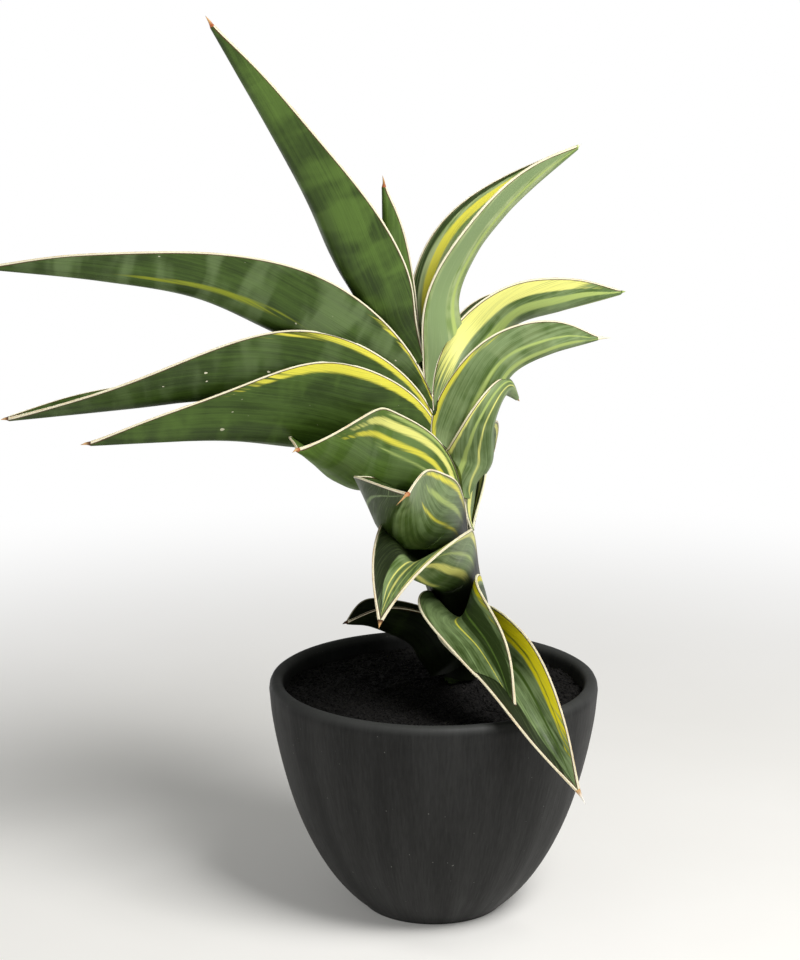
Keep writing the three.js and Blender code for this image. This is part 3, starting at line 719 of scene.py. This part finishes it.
# The colouring of each leaf: the dark and light tones of its skin, the tone and amount of its bands,
# the tones of its horny point from the base to the tip, how plainly pale scars dot it, how far up from the
# root it is darkened with painted shade (where the lower leaves lie in shade), and its stripes. A stripe is
# (middle, drift, half width, from, to, tone): the first three count from 0 at the keel to -1 and 1 at the
# margins, the next two are shares of the leaf's length.
deep = ("deepGreen", "green")
rusty = ("rust", "tan")
fresh = dict(skin=("green", "greyGreen"), band=("mistGreen", 0.2))
older = dict(skin=("darkGreen", "softGreen"), band=("greyGreen", 0.2))
leafLooks = {
    "leaf_spear": dict(skin=("green", "softGreen"), band=("greyGreen", 0.1), horn=rusty, stripes=[]),
    "leaf_left_1": dict(skin=deep, band=("softGreen", 0.6), horn=rusty, stripes=[
        (0, 0.1, 0.3, 0, 0.2, "softGreen")]),
    "leaf_left_2": dict(skin=deep, band=("greyGreen", 0.42), dots=0.6, stripes=[
        (0.3, -0.1, 0.05, 0.4, 0.66, "olive"), (0.97, 0, 0.05, 0, 0.17, "yellow")]),
    "leaf_left_3": dict(skin=deep, band=("greyGreen", 0.25), dots=0.8, stripes=[
        (0.96, 0.06, 0.085, 0, 0.36, "yellow")]),
    "leaf_left_4": dict(skin=deep, band=("softGreen", 0.4), dots=0.5, stripes=[
        (0.95, 0.05, 0.1, 0, 0.56, "yellow")]),
    "leaf_front_1": dict(skin=("green", "softGreen"), band=("greyGreen", 0.3), horn=rusty, stripes=[
        (0.82, 0.03, 0.06, 0, 0.75, "paleYellow"), (0.94, 0.03, 0.03, 0, 0.5, "paleGreen"),
        (0.6, 0.1, 0.045, 0, 0.75, "yellow"), (0.42, 0.2, 0.02, 0, 0.5, "paleGreen")]),
    "leaf_front_2": dict(fresh, band=("mistGreen", 0.15), horn=rusty, shade=0.32, stripes=[
        # painted shade: the wide deepGreen stripe darkens the left half, the side turned away from the key light
        (-0.6, 0, 0.55, 0, 1, "deepGreen"), (-0.55, 0, 0.03, 0.4, 1, "greyGreen"),
        (0.93, 0, 0.04, 0, 0.8, "yellow"), (0.7, 0, 0.04, 0, 0.7, "paleGreen"),
        (0.45, 0, 0.02, 0.1, 0.7, "yellow")]),
    "leaf_front_3": dict(fresh, shade=0.26, stripes=[
        (0.93, 0, 0.05, 0, 1, "paleYellow"), (0.62, 0, 0.03, 0, 1, "paleGreen"),
        (0.36, 0, 0.06, 0.2, 1, "paleYellow"), (0.05, 0, 0.04, 0.3, 1, "paleYellow"),
        # painted shade: the wide darkGreen stripe darkens the lower side of the leaf, which lies in shade
        (-0.6, 0, 0.35, 0, 1, "darkGreen")]),
    "leaf_front_4": dict(skin=("deepGreen", "greyGreen"), band=("greyGreen", 0.2), shade=0.12, stripes=[
        (0.5, 0, 0.3, 0, 1, "deepGreen"), (0, 0, 0.03, 0.2, 1, "yellow"),
        (0.4, 0, 0.03, 0.2, 1, "softGreen"), (0.93, 0, 0.07, 0, 0.6, "gold")]),
    "leaf_front_5": dict(skin=("deepGreen", "greyGreen"), band=("greyGreen", 0.3), horn=("tan", "white"),
                         shade=0.25, stripes=[
        (0.8, 0, 0.19, 0.05, 0.85, "gold"), (0.72, 0, 0.02, 0.1, 0.9, "green"),
        # painted shade: the wide darkGreen stripe darkens the left half, which lies in shade under the leaf above
        (0.3, 0, 0.05, 0.2, 1, "green"), (-0.7, 0, 0.3, 0, 1, "darkGreen")]),
    # painted shade: leaf_back_4's near-black skin stands in for the shade it lies in under the other leaves
    "leaf_back_4": dict(skin=("blackGreen", "darkGreen"), band=("green", 0.15), horn=("brown", "brown"),
                        stripes=[]),
    "leaf_right_1": dict(skin=("softGreen", "mistGreen"), band=("mistGreen", 0.3),
                         horn=("paleGreen", "cream"), stripes=[
        (-0.7, 0, 0.2, 0, 1, "greyGreen"), (-0.35, 0, 0.05, 0.1, 1, "paleGreen"),
        (-0.1, 0, 0.05, 0.3, 1, "greyGreen"), (0.1, 0, 0.05, 0.3, 1, "paleGreen"),
        (0.65, 0, 0.1, 0.1, 0.9, "yellow"), (0.9, 0, 0.07, 0, 1, "deepGreen")]),
    "leaf_right_2": dict(fresh, horn=("green", "paleGreen"), stripes=[
        (-0.8, 0, 0.19, 0.16, 0.85, "paleYellow"), (-0.35, 0, 0.1, 0.2, 1, "paleGreen"),
        (0.05, 0, 0.06, 0.2, 1, "paleGreen"), (0.7, 0, 0.3, 0, 1, "deepGreen")]),
    "leaf_right_3": dict(fresh, horn=("cream", "cream"), stripes=[
        (-0.94, 0, 0.05, 0, 0.5, "yellow"), (-0.4, 0, 0.04, 0.1, 1, "paleGreen"),
        (-0.15, 0, 0.05, 0.2, 1, "paleGreen")]),
    "leaf_right_4": dict(fresh, stripes=[
        (-0.93, 0, 0.05, 0, 0.7, "paleYellow"), (-0.6, 0, 0.05, 0, 1, "paleGreen"),
        (-0.35, 0, 0.025, 0, 1, "paleYellow")]),
    "leaf_back_1": dict(fresh, stripes=[(-0.8, 0, 0.1, 0, 1, "paleYellow")]),
    "leaf_back_2": dict(older, stripes=[(-0.85, 0, 0.06, 0, 1, "paleYellow")]),
    "leaf_back_3": dict(older, shade=0.2, stripes=[(-0.85, 0, 0.06, 0, 1, "gold")]),
}


def leafMaterial(leaf, seed):
    looks = leafLooks[leaf["name"]]
    made, tree, shader = newMaterial(leaf["name"] + "_skin")
    dark, light = looks["skin"]
    bandTone, bandAmount = looks["band"]
    inputs = {"Dark": rgb(dark), "Light": rgb(light), "Band": rgb(bandTone), "Amount": bandAmount,
              "Seed": skinLooks["apart"] * seed}
    skin = put(tree, "ShaderNodeGroup", inputs, node_tree=leafSkin)
    colour = skin.outputs["Color"]
    for *places, tone in looks["stripes"]:
        inputs = dict(zip(("Middle", "Drift", "Half", "From", "To"), places))
        inputs |= {label: skin.outputs[label] for label in ("Lines", "Fray")}
        stripe = put(tree, "ShaderNodeGroup", inputs, node_tree=leafStripe)
        colour = blend(tree, stripe.outputs["Mask"], colour, tone)
    if "dots" in looks:
        over, run = attribute(tree, "acrossMm"), attribute(tree, "alongMm")
        place = vector(tree, times(tree, over, 0.5), times(tree, run, 0.25), float(seed))
        scar = ramp(tree, noise(tree, place, 1.0, 0.0), 0.83, 0.85)
        colour = blend(tree, times(tree, scar, looks["dots"]), colour, "cream")
    # painted shade: the leaf turns black-green towards its root, standing in for the shade low in the plant
    if "shade" in looks:
        paintedRootShade = ramp(tree, attribute(tree, "along"), looks["shade"], 0.5 * looks["shade"])
        colour = blend(tree, paintedRootShade, colour, "blackGreen")
    rim, horn = attribute(tree, "rim"), attribute(tree, "horn")
    colour = blend(tree, ramp(tree, rim, 1.0, 0.65), colour, "brown")
    colour = blend(tree, ramp(tree, rim, 0.5, 0.35), colour, "cream")
    hornBase, hornTip = looks.get("horn", ("brown", "tan"))
    colour = blend(tree, ramp(tree, horn, 0.0, 0.08), colour, hornBase)
    colour = blend(tree, ramp(tree, horn, 0.1, 0.6), colour, hornTip)
    rough = ramp(tree, skin.outputs["Bloom"], 0.3, 0.7, 0.38, 0.55)
    height = calc(tree, "ADD", skin.outputs["Lines"], times(tree, skin.outputs["Fray"], 0.3))
    dress(tree, shader, colour, rough, height, 0.3, 0.0005, 0.3)
    return made


for k, (leaf, piece) in enumerate(zip(leaves, leafPieces)):
    piece.data.materials.clear()
    piece.data.materials.append(leafMaterial(leaf, k))
    finishPiece(piece, "leaf", leaf["name"])

print("stage: stem")


def stemMaterial():  # green rod with darker leaf scars, kept deep green as painted shade where it shows between the leaf bases
    made, tree, shader = newMaterial("stemSkin")
    place = objectPlace(tree)
    height = put(tree, "ShaderNodeSeparateXYZ", {0: place}).outputs[2]
    ring = noise(tree, vector(tree, 0.0, 0.0, height), 260.0, 2.0)
    spot = noise(tree, place, 500.0, 4.0)
    colour = blend(tree, ramp(tree, spot, 0.3, 0.7), "deepGreen", "green")
    colour = blend(tree, ramp(tree, ring, 0.52, 0.62), colour, "darkGreen")
    dress(tree, shader, colour, ramp(tree, spot, 0.2, 0.8, 0.5, 0.75), spot, 0.4, 0.0004)
    return made


rod = newObject("stem_rod", *stemMesh(stem["radius"], stem["scar"]))
rod.data.shade_smooth()
rod.data.materials.append(stemMaterial())
finishPiece(rod, "stem", "stem")

print("stage: pot")

pot = {
    "sides": 180, "steps": 8, "sharpAngle": 60,
    "base": [(0, 0), (20, 0), (34.0, 0), (34.9, 0.2)],
    "outside": [(35.4, 0.8), (43, 8), (51.5, 18.5), (60, 33), (68, 52), (74.5, 75), (78.6, 96), (80, 110)],
    "lip": [(79.7, 112.4), (78.9, 114.1), (77.7, 114.9), (76.4, 115), (75.1, 114.8), (74, 114),
            (73.3, 112.4)],
    "inside": [(73, 110), (71.2, 95), (67.2, 74), (60.5, 52), (52.2, 35), (43, 21.5), (30, 10)],
    "floor": [(20, 8.4), (0, 8.0)],
    "dark": "181817", "light": "2b2b2a", "rimHighlight": "4b4c4a", "dust": "8a8a84",
    "highlightFrom": 110.5, "highlightTo": 114.5,  # the heights between which the lip turns paler with a painted highlight
}


def rounded(points, steps):  # a smooth line of short steps through profile points
    line = smoothPath([(a, 0, b) for a, b in points], steps * (len(points) - 1))
    return [(p[0], p[2]) for p in line]


def lathe(name, profile, sides):
    # a closed body of revolution whose profile starts and ends on the axis
    turn = np.linspace(0, 2 * math.pi, sides, endpoint=False)
    points, faces = [(0, 0, profile[0][1])], []
    for radius, height in profile[1:-1]:
        points += [(radius * math.cos(t), radius * math.sin(t), height) for t in turn]
    points.append((0, 0, profile[-1][1]))
    rings = len(profile) - 2
    for j in range(sides):
        n = (j + 1) % sides
        faces.append((0, 1 + n, 1 + j))
        for i in range(rings - 1):
            a, b = 1 + i * sides + j, 1 + i * sides + n
            faces.append((a, b, b + sides, a + sides))
        last = 1 + (rings - 1) * sides
        faces.append((last + j, last + n, len(points) - 1))
    return newObject(name, points, faces)


def potMaterial():  # charcoal plastic with fine brushed streaks down its sides and a painted highlight round its lip
    made, tree, shader = newMaterial("charcoalPlastic")
    place = objectPlace(tree)
    part = put(tree, "ShaderNodeSeparateXYZ", {0: place})
    turn = calc(tree, "ARCTAN2", part.outputs[1], part.outputs[0])
    height = part.outputs[2]
    wound = vector(tree, calc(tree, "COSINE", turn), calc(tree, "SINE", turn), times(tree, height, 1.6))
    streak = noise(tree, wound, 75.0, 4.0, 0.65)
    broadStreak = noise(tree, wound, 5.0, 2.0, 0.5)
    grain = noise(tree, place, 2600.0, 2.0)
    dust = noise(tree, place, 620.0, 1.0, 0.4)
    tone = calc(tree, "MULTIPLY_ADD", streak, 0.45, times(tree, broadStreak, 0.55))
    colour = blend(tree, ramp(tree, tone, 0.3, 0.72), pot["dark"], pot["light"])
    # painted highlight: the lip is lightened all round where light would catch its edge
    lip = ramp(tree, height, pot["highlightFrom"] * mm, pot["highlightTo"] * mm)
    colour = blend(tree, times(tree, lip, 0.5), colour, pot["rimHighlight"])
    speck = times(tree, ramp(tree, dust, 0.79, 0.82), 0.5)
    colour = blend(tree, speck, colour, pot["dust"])
    relief = calc(tree, "MULTIPLY_ADD", streak, 0.7, times(tree, grain, 0.3))
    dress(tree, shader, colour, ramp(tree, tone, 0.3, 0.7, 0.62, 0.5), relief, 0.15, 0.0002, 0.2)
    return made


profile = (pot["base"] + rounded(pot["outside"], pot["steps"]) + pot["lip"]
           + rounded(pot["inside"], pot["steps"]) + pot["floor"])
bowl = lathe("pot_bowl", profile, pot["sides"])
bowl.data.shade_smooth()
bowl.data.set_sharp_from_angle(angle=math.radians(pot["sharpAngle"]))
bowl.data.materials.append(potMaterial())
finishPiece(bowl, "pot", "pot")

print("stage: soil")

soil = {
    "top": 107.0, "low": 8.3, "gap": 0.3, "rings": 60, "sides": 160,
    "shoulder": (72.0, 104.5), "edge": 72.3,
    "sunk": 0.6,  # how far the lumps lie below the top
    "ripples": [(0.93, 0.35), (1.71, 0.25), (2.9, 0.15)],  # how quick and high small lumps are
    "crumbs": 0.4,  # to a square millimetre
    "smallest": 0.35, "largest": 1.35,
    "fewLarge": 2.5,  # how much rarer large crumbs are than small ones
    "narrow": (0.6, 0.6, 0.5), "wide": (1.3, 1.2, 1.0),
    "turned": 6.28, "depth": 4, "seed": 12,  # depth is how far below the top crumbs may lie
    "dark": "060505", "light": "1a1714", "patch": "0b0a09",
}


def soilBase():
    # it fills the pot, and its top is a fine uneven skin
    outline = [(r - soil["gap"], h + soil["gap"]) for r, h in reversed(pot["inside"][1:])]
    top = [(soil["edge"] * k / soil["rings"], soil["top"]) for k in range(soil["rings"], 0, -1)]
    whole = [(0, soil["low"])] + outline + [soil["shoulder"]] + top + [(0, soil["top"])]
    made = lathe("soil_bed", whole, soil["sides"])
    p = pointsOf(made.data) / mm
    x, y = p[:, 0], p[:, 1]
    lump = np.sin(x * 0.19 + 1.3) * np.cos(y * 0.23) + 0.5 * np.sin(x * 0.41 - y * 0.37)
    for rate, high in soil["ripples"]:
        lump += high * np.sin(x * rate + 2 * np.sin(y * rate * 0.7)) * np.cos(y * rate * 1.1)
    p[:, 2] += np.where(p[:, 2] > soil["top"] - 0.1, 1.0, 0.0) * (lump - soil["sunk"])
    made.data.vertices.foreach_set("co", (p * mm).ravel())
    made.data.update()
    return made


def crumbTree():  # scatters crumbs of a few sizes over the upward faces of a mesh and keeps the mesh
    inputs = dict(Geometry="Geometry", Density="Float", Smallest="Float", Largest="Float",
                  Lowest="Float", Seed="Int", Material="Material")
    tree, given, result = newGroup("scatterCrumbs", "GeometryNodeTree", inputs, {"Geometry": "Geometry"})
    value = given.outputs
    place = put(tree, "GeometryNodeInputPosition")
    height = put(tree, "ShaderNodeSeparateXYZ", {0: place}).outputs[2]
    high = put(tree, "FunctionNodeCompare", {0: height, 1: value["Lowest"]}, operation="GREATER_THAN")
    spread = put(tree, "GeometryNodeDistributePointsOnFaces",
                 {"Mesh": value["Geometry"], "Selection": high, "Density": value["Density"],
                  "Seed": value["Seed"]})
    lump = put(tree, "GeometryNodeMeshIcoSphere", {"Radius": 1.0, "Subdivisions": 1})
    spans = (((0, 0, 0), (soil["turned"],) * 3), (soil["narrow"], soil["wide"]))
    spin, stretch = (put(tree, "FunctionNodeRandomValue", {0: low, 1: high, "Seed": value["Seed"]},
                         data_type="FLOAT_VECTOR") for low, high in spans)
    chance = put(tree, "FunctionNodeRandomValue", {"Seed": value["Seed"]}, data_type="FLOAT").outputs[1]
    rare = calc(tree, "POWER", chance, soil["fewLarge"])
    reach = calc(tree, "SUBTRACT", value["Largest"], value["Smallest"])
    size = calc(tree, "MULTIPLY_ADD", rare, reach, value["Smallest"])
    scale = put(tree, "ShaderNodeVectorMath", {0: stretch}, operation="SCALE")
    tree.links.new(size, scale.inputs["Scale"])
    crumbs = put(tree, "GeometryNodeInstanceOnPoints",
                 {"Points": spread, "Instance": lump, "Rotation": spin, "Scale": scale})
    real = put(tree, "GeometryNodeRealizeInstances", {"Geometry": crumbs})
    both = put(tree, "GeometryNodeJoinGeometry")
    tree.links.new(real.outputs[0], both.inputs[0])
    tree.links.new(value["Geometry"], both.inputs[0])
    dressed = put(tree, "GeometryNodeSetMaterial", {"Geometry": both, "Material": value["Material"]})
    tree.links.new(dressed.outputs[0], result.inputs[0])
    return tree


def soilMaterial():  # damp black potting mix with browner crumbs
    made, tree, shader = newMaterial("pottingMix")
    place = objectPlace(tree)
    crumb = noise(tree, place, 700.0, 3.0, 0.6)
    patch = noise(tree, place, 60.0, 2.0)
    colour = blend(tree, ramp(tree, crumb, 0.35, 0.75), soil["dark"], soil["light"])
    damp = times(tree, ramp(tree, patch, 0.5, 0.7), 0.4)
    colour = blend(tree, damp, colour, soil["patch"])
    dress(tree, shader, colour, ramp(tree, crumb, 0.3, 0.7, 0.95, 0.7), crumb, 0.7, 0.0006, 0.25)
    return made


bed = soilBase()
runTree(bed, crumbTree(), {"Density": soil["crumbs"] / mm ** 2, "Smallest": soil["smallest"] * mm,
                           "Largest": soil["largest"] * mm, "Lowest": (soil["top"] - soil["depth"]) * mm,
                           "Seed": soil["seed"], "Material": soilMaterial()})
finishPiece(bed, "soil", "soil")

print("stage: studio")

studio = {
    "floor": 12.0, "paleTo": 0.25, "whiteFrom": 0.9,
    "pale": ("e9e7e2", "f2f0ec"), "near": "6a6a68",
    "sky": 0.2, "aim": (0, 0, 0.2),
    "key": (18.0, 0.6, (0.55, -0.6, 1.15)),  # watts, width and place
    "fill": (0.5, 1.2, (-0.9, -0.6, 0.6)),
}


def studioMaterial():  # a pale floor that fades into the white round it
    made, tree, shader = newMaterial("paleFloor")
    place = objectPlace(tree)
    away = put(tree, "ShaderNodeVectorMath", {0: place}, operation="LENGTH").outputs["Value"]
    fade = ramp(tree, away, studio["paleTo"], studio["whiteFrom"])
    cloud = noise(tree, place, 6.0, 3.0)
    pale = blend(tree, cloud, *studio["pale"])
    tree.links.new(blend(tree, fade, pale, "000000"), shader.inputs["Base Color"])
    tree.links.new(blend(tree, fade, studio["near"], "ffffff"), shader.inputs["Emission Color"])
    for label, value in (("Emission Strength", 1.0), ("Roughness", 0.8), ("Specular IOR Level", 0.0)):
        shader.inputs[label].default_value = value
    return made


def addLight(name):
    light = bpy.data.lights.new(name, "AREA")
    light.energy, light.size, place = studio[name]
    made = linked(name, light)
    made.location = place
    made.rotation_euler = (Vector(studio["aim"]) - Vector(place)).to_track_quat("-Z", "Y").to_euler()


half = studio["floor"] / mm
corners = [(-half, -half, 0), (half, -half, 0), (half, half, 0), (-half, half, 0)]
floor = newObject("floor", corners, [(0, 1, 2, 3)])
floor.data.materials.append(studioMaterial())
addLight("key")
addLight("fill")
world = bpy.data.worlds.new("whiteStudio")
bpy.context.scene.world = world
world.use_nodes = True
tree = world.node_tree
sky = tree.nodes["Background"]
seen = put(tree, "ShaderNodeLightPath").outputs["Is Camera Ray"]
sky.inputs["Color"].default_value = (1, 1, 1, 1)
tree.links.new(ramp(tree, seen, 0.0, 1.0, studio["sky"], 1.0), sky.inputs["Strength"])
bpy.context.scene.view_settings.view_transform = "Standard"

camera = {"lens": 78.75, "place": (-0.0163, -0.981, 0.425), "down": 12.23}
lens = bpy.data.cameras.new("camera")
lens.lens = camera["lens"]
viewer = linked("camera", lens)
viewer.location = camera["place"]
viewer.rotation_euler = (math.radians(90 - camera["down"]), 0, 0)
bpy.context.scene.camera = viewer
